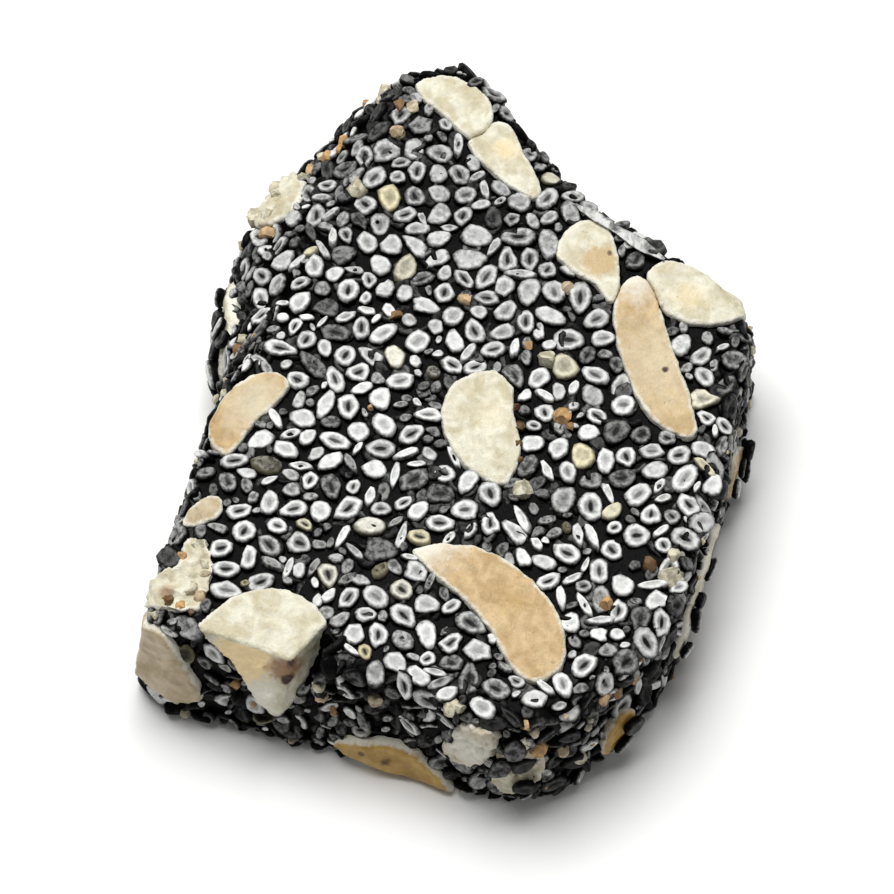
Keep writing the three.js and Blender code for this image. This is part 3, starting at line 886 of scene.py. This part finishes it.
def seed_tones(seeds, rng, bright, dim, hollow, cream):
    """For each seed: brightness of its flat (a painted reflection on a black seed), how hollow its flat
    is, and how much of a cream seed it is.
    """
    count = len(seeds.middle)
    tones = np.ones((count, 3))
    tones[:, 0] = np.clip(bright + rng.normal(scale=BRIGHT_SPREAD, size=count), *BRIGHT_LIMITS)
    zone = np.array([noise.noise(Vector(point) / DIM_ZONE) for point in seeds.middle])
    dimmed = rng.random(count) < dim * (1 + ZONE_EFFECT * zone)
    tones[:, 0] *= np.where(dimmed, rng.uniform(*DIMMED, count), 1.0)
    tones[:, 1] = np.clip(rng.beta(*HOLLOW_DRAW, count) * hollow, 0, 1)
    tones[:, 2] = np.where(rng.random(count) < cream, rng.uniform(*CREAM_TONES, count), 0.0)
    return tones


# ---------------------------------------------------------------- operators


def piece_name(node):
    return node.replace("nut_", "peanut_")


# Pieces with a crumbly surface.
CRUMBLY = ("nut_top_crumbly", "nut_left_crumb", "nut_front_seeded", "nut_front_round")

# Which axes a piece is smoothed along, so that the flat it shows stays sharp.
SMOOTHED = {
    "top": {"use_z": False},
    "rim": {"use_z": False},
    "base": {"use_z": False},
    "front": {"use_y": False},
    "back": {"use_y": False},
    "left": {"use_x": False},
    "right": {"use_x": False},
}


# Rounds of smoothing: for a piece on the rim, for any other, and then for each in all directions.
RIM_ROUNDS, USUAL_ROUNDS, LAST_ROUNDS = 4, 6, 2

RESTING_LEVEL = 0.4 * MM  # a piece keeps its flat base up to here
PRESSED_DEPTH = 2 * MM  # and its flat top down to here under the face
LOOKING_UP = 0.8  # least height of the normal of a flat top
PRESSED_SWELL = 0.25  # the share of its swelling and lumps that a flat top gets


def hold_flats(piece):
    """Gives a piece groups that say how far each point may swell and how far it may roughen."""
    loose = piece.vertex_groups.new(name="loose")
    rough = piece.vertex_groups.new(name="rough")
    for v in piece.data.vertices:
        resting = v.co.z < RESTING_LEVEL
        pressed = v.normal.z > LOOKING_UP and v.co.z > FACE_LEVEL - PRESSED_DEPTH
        loose.add([v.index], 0.0 if resting else PRESSED_SWELL if pressed else 1.0, "REPLACE")
        rough.add([v.index], 0.0 if resting else 1.0, "REPLACE")


class BRITTLE_OT_peanuts(bpy.types.Operator):
    """Shape each peanut piece from its solid and give it the look of a cut kernel"""

    bl_idname = "brittle.peanuts"
    bl_label = "Peanut pieces"

    def shape(self, node):
        given = settings("peanut")
        piece = copy_of(node, name=piece_name(node))
        modify(piece, "REMESH", mode="VOXEL", voxel_size=given.voxel)
        face = node.split("_")[1]
        relax(piece, RIM_ROUNDS if face == "rim" else USUAL_ROUNDS, **SMOOTHED[face])
        relax(piece, LAST_ROUNDS)
        hold_flats(piece)
        swell(piece, given.swell, vertex_group="loose")
        roughen(piece, "kernel_lumps", pitch=1.2 * MM, height=given.knobble, middle=0.55,
                vertex_group="loose")
        roughen(piece, "kernel_grain", pitch=0.4 * MM, height=0.25 * given.knobble, middle=0.5,
                vertex_group="rough")
        if node in CRUMBLY:
            roughen(piece, "crumbling", pitch=0.9 * MM, height=3 * given.knobble, middle=0.62)
        piece.vertex_groups.clear()
        smooth_shading(piece)
        return piece

    def execute(self, context):
        pocket = tree_instead_of(copy_of("slab", name="slab_copy"))
        materials = {slot: peanut_material(slot) for slot in sorted({SUBPARTS[n] for n in KERNELS})}
        for node in KERNELS:
            piece = self.shape(node)
            rim = np.array([pocket.find_nearest(v.co)[3] for v in piece.data.vertices])
            mark_points(piece.data, "rim", rim / MM)
            slot = SUBPARTS[node]
            finish_piece(piece, materials[slot], [node])
        return {"FINISHED"}


class BRITTLE_OT_syrup(bpy.types.Operator):
    """Make the dark set syrup that holds the seeds, with a socket for each peanut piece"""

    bl_idname = "brittle.syrup"
    bl_label = "Syrup"

    def execute(self, context):
        given = settings("syrup")
        syrup = closed_skin("syrup_core", given.voxel)
        swell(syrup, -given.depth)
        relax(syrup, 2)
        roughen(syrup, "syrup_lumps", pitch=1.1 * MM, height=given.relief, middle=0.5)
        peanuts = peanuts_together()
        modify(peanuts, "DECIMATE", ratio=given.socket_detail)
        modify(syrup, "BOOLEAN", operation="DIFFERENCE", object=peanuts, solver="MANIFOLD")
        discard(peanuts)
        smooth_shading(syrup)
        finish_piece(syrup, syrup_material(), ["slab"])
        return {"FINISHED"}


# Seeds that lie at known places: x, y, z in millimetres, how bright and how cream they are.
KNOWN_SEEDS = (
    (-13.1, 15.5, 13.6, 1.0, 0.9), (1.2, -14.6, 13.6, 0.9, 0.8), (18.0, -7.3, 13.6, 0.95, 0.7),
    (0.6, -28.1, 13.6, 0.9, 1.0), (-5.9, -22.2, 13.6, 0.95, 0.35), (1.8, -21.7, 13.6, 0.95, 0.35),
    (-3.3, -31.8, 7.6, 1.0, 0.0), (-4.5, -32.3, 4.2, 1.0, 0.0), (2.8, -32.1, 6.0, 0.8, 0.2),
    (6.6, -31.8, 7.9, 1.0, 0.0), (7.8, -32.1, 5.8, 1.0, 0.0), (7.2, -30.6, 12.0, 0.9, 0.0),
)
SEEDS_DRAW = 7  # which random seeds these are
STEEP, TO_FLAT = 0.5, 0.45  # height of the ground's normal on a side, and from there to a face
UPWARDS = 0.7  # ground whose normal is higher than this belongs to a face
START_CLOSENESS, END_CLOSENESS = 1.12, 0.98  # how close packed seeds may come while they settle
PEANUT_ROOM = 0.45  # seeds nearer to a peanut piece than this share of their reach are left out
CRUMB_MARGIN = 0.35  # millimetres between a crumb and the middle of a seed
DEEPER_SHARE, DEEPER = 0.2, 0.35 * MM  # share of the seeds that lie deeper, and how far at most
STANDING_HOLLOW = 0.35  # how hollow a standing seed looks next to a lying one
SIDE_SHADE_FROM, TO_FULL_SIDE_SHADE = 0.93, 0.35  # painted side shade below this height of the normal, in full where lower by this
SIDE_SHADE_SHARE = 0.6  # share of the seeds that get a painted shade where the side is steep in full
SIDE_SHADE_LEVELS = (0.04, 0.3)  # how bright such a seed with painted shade is next to a common one
BACK_START, BACK_LENGTH = 2 * MM, 14 * MM  # where the painted shade of the seeds at the back begins, and over what length it grows
TIP_ROOM = 0.5 * MM * MM  # surface for each place that is tried for a tip
LARGEST_TIP, SMALLEST_TIP = 0.7 * MM, 0.37 * MM  # the free room that a tip fills
TIP_CLOSENESS = 0.8  # how close two tips may lie, as a share of their rooms together
TIP_SHAPE = (1.25, 0.8, 0.7)  # half sizes of a tip for a free room of 1
TIP_SPREAD = 0.12
TIP_LEAN, TIP_DEPTH = 0.25, 0.08 * MM  # lean in radians
SUNKEN_ROOM = 5.0 * MM * MM  # surface for each sunken seed
SUNKEN_SIZE, SUNKEN_LEAN, SUNKEN_DEPTH = 0.85, 0.5, 0.3 * MM  # lean in radians
SUNKEN_STEPS, SUNKEN_CLOSENESS = 12, 0.9


def packed_seeds(ground, rng):
    """The seeds that show, settled side by side and kept off bare peanut pieces and known crumbs."""
    given = settings("seeds")
    points = ground.scattered(given.room * MM * MM, rng)
    half, pose = sizes(len(points), rng, 1.0, given.on_edge, given.on_end, given.small)
    seeds = Seeds(ground, points, half, rng)
    seeds.pose = pose
    flatness = np.clip((np.abs(seeds.up[:, 2]) - STEEP) / TO_FLAT, 0, 1)
    seeds.lean = given.side_lean + (given.face_lean - given.side_lean) * flatness
    seeds.settle(ground, given.steps, START_CLOSENESS, END_CLOSENESS)
    _, distance, reach = seeds.off_peanuts(ground)
    seeds.keep(distance > np.maximum(PEANUT_ROOM * reach, ON_PEANUT))
    for *place, size, _ in CRUMBS:
        seeds.keep(seeds.away_from(place) > (0.5 * size + CRUMB_MARGIN) * MM)
    seeds.stick(rng)
    return seeds


def packed_tones(seeds, rng):
    """Their tones: many seeds of the steep sides get a painted shade, and those at the back a painted
    shade that grows towards the back.
    """
    count = len(seeds.middle)
    tones = seed_tones(seeds, rng, bright=1.0, dim=0.2, hollow=0.95, cream=0.015)
    tones[seeds.pose != LYING, 1] *= STANDING_HOLLOW
    # Painted shade: seeds on the steep sides are darkened, standing in for the shade that falls there.
    painted_side_shade = np.clip((SIDE_SHADE_FROM - np.abs(seeds.up[:, 2])) / TO_FULL_SIDE_SHADE, 0, 1)
    shaded = rng.random(count) < SIDE_SHADE_SHARE * painted_side_shade
    tones[:, 0] *= np.where(shaded, rng.uniform(*SIDE_SHADE_LEVELS, count), 1.0)
    # Painted shade that grows towards the back, where less light falls.
    backwards = np.clip((seeds.middle[:, 1] - BACK_START) / BACK_LENGTH, 0, 1)
    tones[:, 0] *= 1 - settings("seeds").back_shade * backwards
    for *place, bright, cream in KNOWN_SEEDS:
        tones[np.argmin(seeds.away_from(place)), ::2] = bright, cream
    return tones


def tips_between(ground, seeds, rng):
    """Ends of deeper seeds that show in the gaps between the others, as large as fits."""
    points = ground.scattered(TIP_ROOM, rng)
    here, seed = seeds.pairs(points)
    gap = points[here] - seeds.middle[seed]
    away = np.linalg.norm(gap, axis=1)
    free = np.full(len(points), LARGEST_TIP)
    np.minimum.at(free, here, away - seeds.reach(seed, gap / (away[:, None] + TINY)))
    taken = np.array([], dtype=int)
    for number in np.argsort(-free):
        if free[number] < SMALLEST_TIP:
            break
        apart = np.linalg.norm(points[taken] - points[number], axis=1)
        if np.all(apart > TIP_CLOSENESS * (free[number] + free[taken])):
            taken = np.append(taken, number)
    room = free[taken][:, None]
    half = room * TIP_SHAPE * (1 + TIP_SPREAD * rng.normal(size=(len(taken), 3)))
    tips = Seeds(ground, points[taken], half, rng, TIP_LEAN)
    tips.face()
    tips.sink(TIP_DEPTH)
    return tips


def sunken_seeds(ground, rng):
    """A second layer of dark seeds that shows through the gaps of the first."""
    points = ground.scattered(SUNKEN_ROOM, rng)
    half, _ = sizes(len(points), rng, SUNKEN_SIZE)
    seeds = Seeds(ground, points, half, rng, SUNKEN_LEAN)
    seeds.settle(ground, SUNKEN_STEPS, SUNKEN_CLOSENESS, SUNKEN_CLOSENESS)
    seeds.sink(SUNKEN_DEPTH)
    return seeds


class BRITTLE_OT_seeds(bpy.types.Operator):
    """Cover the slab with sesame seeds, lying flat on its faces and at all angles on its sides"""

    bl_idname = "brittle.seeds"
    bl_label = "Sesame seeds"

    def execute(self, context):
        rng = np.random.default_rng(SEEDS_DRAW)
        ground = Ground()
        template = model_seed()
        material = seed_material()

        def make(name, seeds, tones):
            finish_piece(seed_mesh(name, seeds, tones, template, rng), material)

        seeds = packed_seeds(ground, rng)
        level = copy(seeds)
        count = len(seeds.middle)
        deeper = rng.random(count) < DEEPER_SHARE
        seeds.sink(np.where(deeper, rng.uniform(0, DEEPER, count), 0))
        seeds.lift()
        tones = packed_tones(seeds, rng)
        up = seeds.up[:, 2]
        kinds = {
            "seeds_upper_face": up > UPWARDS,
            "seeds_cut_sides": np.abs(up) <= UPWARDS,
            "seeds_underside": up < -UPWARDS,
        }
        for name, chosen in kinds.items():
            make(name, seeds.only(chosen), tones[chosen])
        tips = tips_between(ground, level, rng)
        # The tips' pale ends are painted highlights, through the seed finish's painted reflection.
        make("seed_tips", tips, seed_tones(tips, rng, bright=0.85, dim=0.8, hollow=0.0, cream=0.03))
        sunken = sunken_seeds(ground, rng)
        make("seeds_sunken", sunken,
             seed_tones(sunken, rng, bright=0.12, dim=0.5, hollow=0.5, cream=0.0))
        discard(template)
        return {"FINISHED"}


# Crumbs at known places: x, y, height and size in millimetres, and how toasted they are.
CRUMBS = (
    (-17.3, -22.3, 13.4, 1.4, 0.05), (-16.2, -23.9, 13.5, 1.2, 0.1), (-15.8, -24.9, 13.4, 1.0, 0.2),
    (-16.5, -26.7, 13.4, 1.3, 0.1), (-15.4, -27.2, 13.1, 1.1, 0.3), (-16.7, -28.5, 12.6, 1.2, 0.6),
    (-18.0, -28.3, 12.4, 1.0, 0.9), (-15.7, -28.8, 11.9, 0.9, 1.0), (-18.3, -23.8, 13.3, 1.0, 0.5),
    (9.3, 0.2, 13.7, 1.9, 0.55), (10.4, -0.6, 13.5, 0.8, 0.8), (-2.6, 8.9, 13.4, 1.4, 0.35),
    (-8.1, 5.2, 13.4, 1.2, 0.8), (6.2, 5.3, 13.5, 1.9, 0.05), (4.3, 6.1, 13.4, 0.9, 0.5),
    (-14.8, 26.2, 13.1, 1.5, 0.85), (-13.5, 26.6, 13.4, 1.5, 0.2), (-14.1, 23.6, 13.3, 1.5, 0.3),
    (-18.6, 29.0, 12.0, 2.2, 0.1), (-20.9, 21.2, 10.5, 1.4, 0.5), (-22.3, 20.1, 9.8, 1.3, 0.4),
    (-19.7, 22.8, 11.0, 1.3, 0.55), (-21.8, 18.8, 9.4, 1.5, 0.1), (-15.8, 17.1, 13.3, 2.2, 0.1),
    (-25.4, 14.4, 7.8, 1.9, 0.1), (-23.5, 16.6, 8.6, 2.1, 0.0), (-23.1, 13.6, 8.5, 1.7, 0.05),
    (-22.2, 11.9, 8.4, 1.6, 0.4), (-25.6, 18.4, 8.0, 2.0, 0.15), (8.3, -7.8, 13.5, 2.0, 0.0),
    (5.8, 12.9, 13.5, 1.3, 0.25), (23.0, -10.2, 12.8, 2.0, 0.1), (23.4, -12.2, 12.5, 1.9, 0.1),
    (21.2, -11.6, 13.2, 1.4, 0.9), (8.8, -30.7, 12.6, 1.7, 0.1), (9.6, -30.2, 13.1, 1.3, 0.0),
    (18.4, -31.0, 9.7, 1.6, 0.5), (-3.0, -31.0, 8.4, 1.1, 0.3), (16.0, -30.4, 12.6, 1.1, 0.4),
    (5.2, -0.2, 13.5, 0.9, 1.0), (6.0, -2.0, 13.6, 1.1, 1.0), (6.5, -3.9, 13.5, 1.0, 0.95),
    (7.1, -5.2, 13.5, 0.8, 0.9),
)


CRUMBS_DRAW = 11  # which random crumbs these are
CRUMB_ROOM = 26 * MM * MM  # surface for each strewn crumb
CRUMBS_ON_FACES = 0.04  # the share of them that is left on the faces
CRUMB_SIZES = (0.45, 1.3)  # millimetres across
CRUMB_STRETCH = (0.75, 1.3)
CRUMB_SPREAD = 0.07  # how far the points of a crumb stray, as a share of its radius
TOAST_DRAW = (0.5, 1.5)  # the two shape numbers of the beta draw for how toasted a crumb is
CRUMB_CUTS = (((0, 0, 1), 0.55), ((1, 0.4, -0.3), 0.6), ((-0.6, 1, 0.5), 0.75))  # normal, distance
CRUMB_SUNK = 0.45  # the share of its radius by which a crumb is sunk
FULL_TURN = 6.28  # radians
CRUMB_CORNER = math.radians(35)  # edges sharper than this stay sharp


def model_crumb():
    """A bit of chopped kernel of radius 1, cut flat on three sides."""
    deselect()
    bpy.ops.mesh.primitive_ico_sphere_add(subdivisions=2, radius=1)
    crumb = bpy.context.object
    crumb.name = "crumb"
    for normal, distance in CRUMB_CUTS:
        edit(crumb)
        side = Vector(normal).normalized()
        bpy.ops.mesh.bisect(plane_co=side * distance, plane_no=side, use_fill=True, clear_outer=True)
        leave()
    edit(crumb)
    bpy.ops.mesh.normals_make_consistent(inside=False)
    leave()
    return crumb


class BRITTLE_OT_crumbs(bpy.types.Operator):
    """Strew peanut crumbs among the seeds, most of them on the broken sides"""

    bl_idname = "brittle.crumbs"
    bl_label = "Peanut crumbs"

    def execute(self, context):
        rng = np.random.default_rng(CRUMBS_DRAW)
        ground = Ground()
        known = np.array(CRUMBS)
        strewn = ground.scattered(CRUMB_ROOM, rng)
        flatness = np.abs(nearest(ground.skin, strewn)[1][:, 2])
        strewn = strewn[(flatness < UPWARDS) | (rng.random(len(strewn)) < CRUMBS_ON_FACES)]
        places, normals, _ = nearest(ground.skin, np.vstack([known[:, :3] * MM, strewn]))
        radius = np.concatenate([known[:, 3], rng.uniform(*CRUMB_SIZES, len(strewn))]) * MM / 2
        toast = np.concatenate([known[:, 4], rng.beta(*TOAST_DRAW, len(strewn))])

        template = model_crumb()
        points = points_of(template)
        count, size = len(places), len(points)
        angles = rng.uniform(0, FULL_TURN, (count, 3))
        turns = np.array([Euler(three).to_matrix() for three in angles])
        shaped = points[None] * rng.uniform(*CRUMB_STRETCH, (count, 1, 3))
        shaped *= 1 + rng.normal(scale=CRUMB_SPREAD, size=(count, size, 1))
        placed = np.einsum("nvi,nij->nvj", shaped, turns) * radius[:, None, None]
        placed += (places - normals * radius[:, None] * CRUMB_SUNK)[:, None]
        placed[:, :, 2] += np.clip(FLOOR_GAP - placed[:, :, 2].min(1), 0, None)[:, None]
        piece = joined("peanut_crumbs", template, placed, toast=np.repeat(toast, size))
        discard(template)
        pick(piece)
        bpy.ops.object.shade_smooth_by_angle(angle=CRUMB_CORNER)
        finish_piece(piece, crumb_material())
        return {"FINISHED"}


FILM_START = Vector((3.4, 21.3, 0)) * MM
FILM_END = Vector((13.4, 18.1, 0)) * MM
FILM_WIDTH = 1.9 * MM
FILM_TIP, FILM_BODY, FILM_WAVE = 0.08, 0.8, 0.25  # shares of that: at a tip, added between, unevenness
FILM_WAVES = 11  # radians of that unevenness over its run
FILM_BLUNTNESS = 0.7  # less makes the two ends blunter
FILM_ROUNDS = 10  # of smoothing
FILM_STEPS = 22
FILM_LEVEL = FACE_LEVEL + 0.12 * MM  # where it is laid out before it drops onto the seeds
FILM_GAP = 0.04 * MM
FILM_DROP = 0.5 * MM  # how far it can drop
FILM_THICKNESS = 0.12 * MM


def film_width(share):
    """Width of the film at a share of its run: pointed at both ends, uneven between."""
    body = math.sin(math.pi * share) ** FILM_BLUNTNESS
    return FILM_WIDTH * (FILM_TIP + body * (FILM_BODY + FILM_WAVE * math.sin(FILM_WAVES * share)))


class BRITTLE_OT_film(bpy.types.Operator):
    """Lay a thin streak of set syrup over the seeds by the back rim"""

    bl_idname = "brittle.film"
    bl_label = "Syrup film"

    def execute(self, context):
        run = FILM_END - FILM_START
        step = run / FILM_STEPS
        along = run.normalized()
        level = Vector((0, 0, FILM_LEVEL))
        deselect()
        bpy.ops.mesh.primitive_plane_add(size=1, location=FILM_START + step / 2 + level,
                                         rotation=(0, 0, math.atan2(run.y, run.x)))
        film = context.object
        film.name = "syrup_film"
        film.scale = (step.length, film_width(0), 1)
        bpy.ops.object.transform_apply(location=True, rotation=True, scale=True)
        edit_edges_where(film, lambda co: (co - FILM_START).dot(along) > step.length / 2)
        for number in range(1, FILM_STEPS):
            wider = film_width(number / FILM_STEPS) / film_width((number - 1) / FILM_STEPS)
            bpy.ops.mesh.extrude_edges_move(TRANSFORM_OT_translate={"value": step})
            bpy.ops.transform.resize(value=(wider, wider, 1))
        bpy.ops.mesh.select_all(action="SELECT")
        bpy.ops.mesh.subdivide(number_cuts=3)
        bpy.ops.mesh.normals_make_consistent(inside=False)
        leave()
        modify(film, "SHRINKWRAP", target=bpy.data.objects["seeds_upper_face"], wrap_method="PROJECT",
               use_project_z=True, use_negative_direction=True, use_positive_direction=False,
               project_limit=FILM_DROP, offset=FILM_GAP)
        relax(film, FILM_ROUNDS)
        modify(film, "SOLIDIFY", thickness=FILM_THICKNESS, offset=0)
        modify(film, "SUBSURF", levels=1, render_levels=1)
        smooth_shading(film)
        finish_piece(film, film_material())
        return {"FINISHED"}


FLOOR_SIZE = 4  # metres
LIGHT_SIZE = (0.5, 0.4)  # metres
LIGHT_PLACE = Vector((-0.12, 0.16, 0.55))  # metres from the point that it shines on
VIEW_LIMITS = (0.01, 10)  # metres


class BRITTLE_OT_stage(bpy.types.Operator):
    """Set the plain floor, the soft light and the camera"""

    bl_idname = "brittle.stage"
    bl_label = "Stage"

    def floor(self, given):
        deselect()
        bpy.ops.mesh.primitive_plane_add(size=FLOOR_SIZE, location=(0, 0, 0))
        floor = bpy.context.object
        floor.name = "floor"
        pale = Recipe("pale_floor").finish(Base_Color=(*given.floor, 1), Roughness=0.9)
        floor.data.materials.append(pale)

    def light(self, given, aim):
        world = bpy.data.worlds.new("soft_sky")
        world.use_nodes = True
        backdrop = world.node_tree.nodes["Background"]
        backdrop.inputs["Color"].default_value = (1, 1, 1, 1)
        backdrop.inputs["Strength"].default_value = given.sky
        bpy.context.scene.world = world
        lamp = bpy.data.lights.new("softbox", "AREA")
        lamp.shape = "RECTANGLE"
        lamp.size, lamp.size_y = LIGHT_SIZE
        lamp.energy = given.light
        box = add("softbox", lamp)
        box.location = aim + LIGHT_PLACE
        box.rotation_euler = (box.location - aim).to_track_quat("Z", "Y").to_euler()

    def camera(self, given, aim):
        camera = add("camera", bpy.data.cameras.new("camera"))
        flat = math.cos(given.elevation)
        back = Vector((math.sin(given.azimuth) * flat, -math.cos(given.azimuth) * flat,
                       math.sin(given.elevation)))
        camera.location = aim + back * given.distance
        camera.rotation_euler = back.to_track_quat("Z", "Y").to_euler()
        camera.data.lens = given.lens
        camera.data.clip_start, camera.data.clip_end = VIEW_LIMITS
        bpy.context.scene.camera = camera

    def execute(self, context):
        given = settings("stage")
        aim = Vector(given.aim)
        self.floor(given)
        self.light(given, aim)
        self.camera(given, aim)
        context.scene.view_settings.view_transform = "Standard"
        return {"FINISHED"}


class VIEW3D_PT_brittle(bpy.types.Panel):
    """The steps of the slab, in order"""

    bl_label = "Sesame Brittle"
    bl_idname = "VIEW3D_PT_brittle"
    bl_space_type = "VIEW_3D"
    bl_region_type = "UI"
    bl_category = "Brittle"

    def draw(self, context):
        for operator in OPERATORS:
            self.layout.operator(operator.bl_idname)
        for group, kind in SETTINGS.items():
            box = self.layout.box()
            box.label(text=group.title())
            for name in kind.__annotations__:
                box.prop(settings(group), name)


OPERATORS = (
    BRITTLE_OT_peanuts,
    BRITTLE_OT_syrup,
    BRITTLE_OT_seeds,
    BRITTLE_OT_crumbs,
    BRITTLE_OT_film,
    BRITTLE_OT_stage,
)


def register():
    for kind in (*SETTINGS.values(), *OPERATORS, VIEW3D_PT_brittle):
        bpy.utils.register_class(kind)
    for group, kind in SETTINGS.items():
        setattr(bpy.types.Scene, "brittle_" + group, PointerProperty(type=kind))


def unregister():
    for group in SETTINGS:
        delattr(bpy.types.Scene, "brittle_" + group)
    for kind in (VIEW3D_PT_brittle, *reversed(OPERATORS), *SETTINGS.values()):
        bpy.utils.unregister_class(kind)


def main():
    register()
    for operator in OPERATORS:
        family, step = operator.bl_idname.split(".")
        getattr(getattr(bpy.ops, family), step)()


if __name__ == "__main__":
    main()
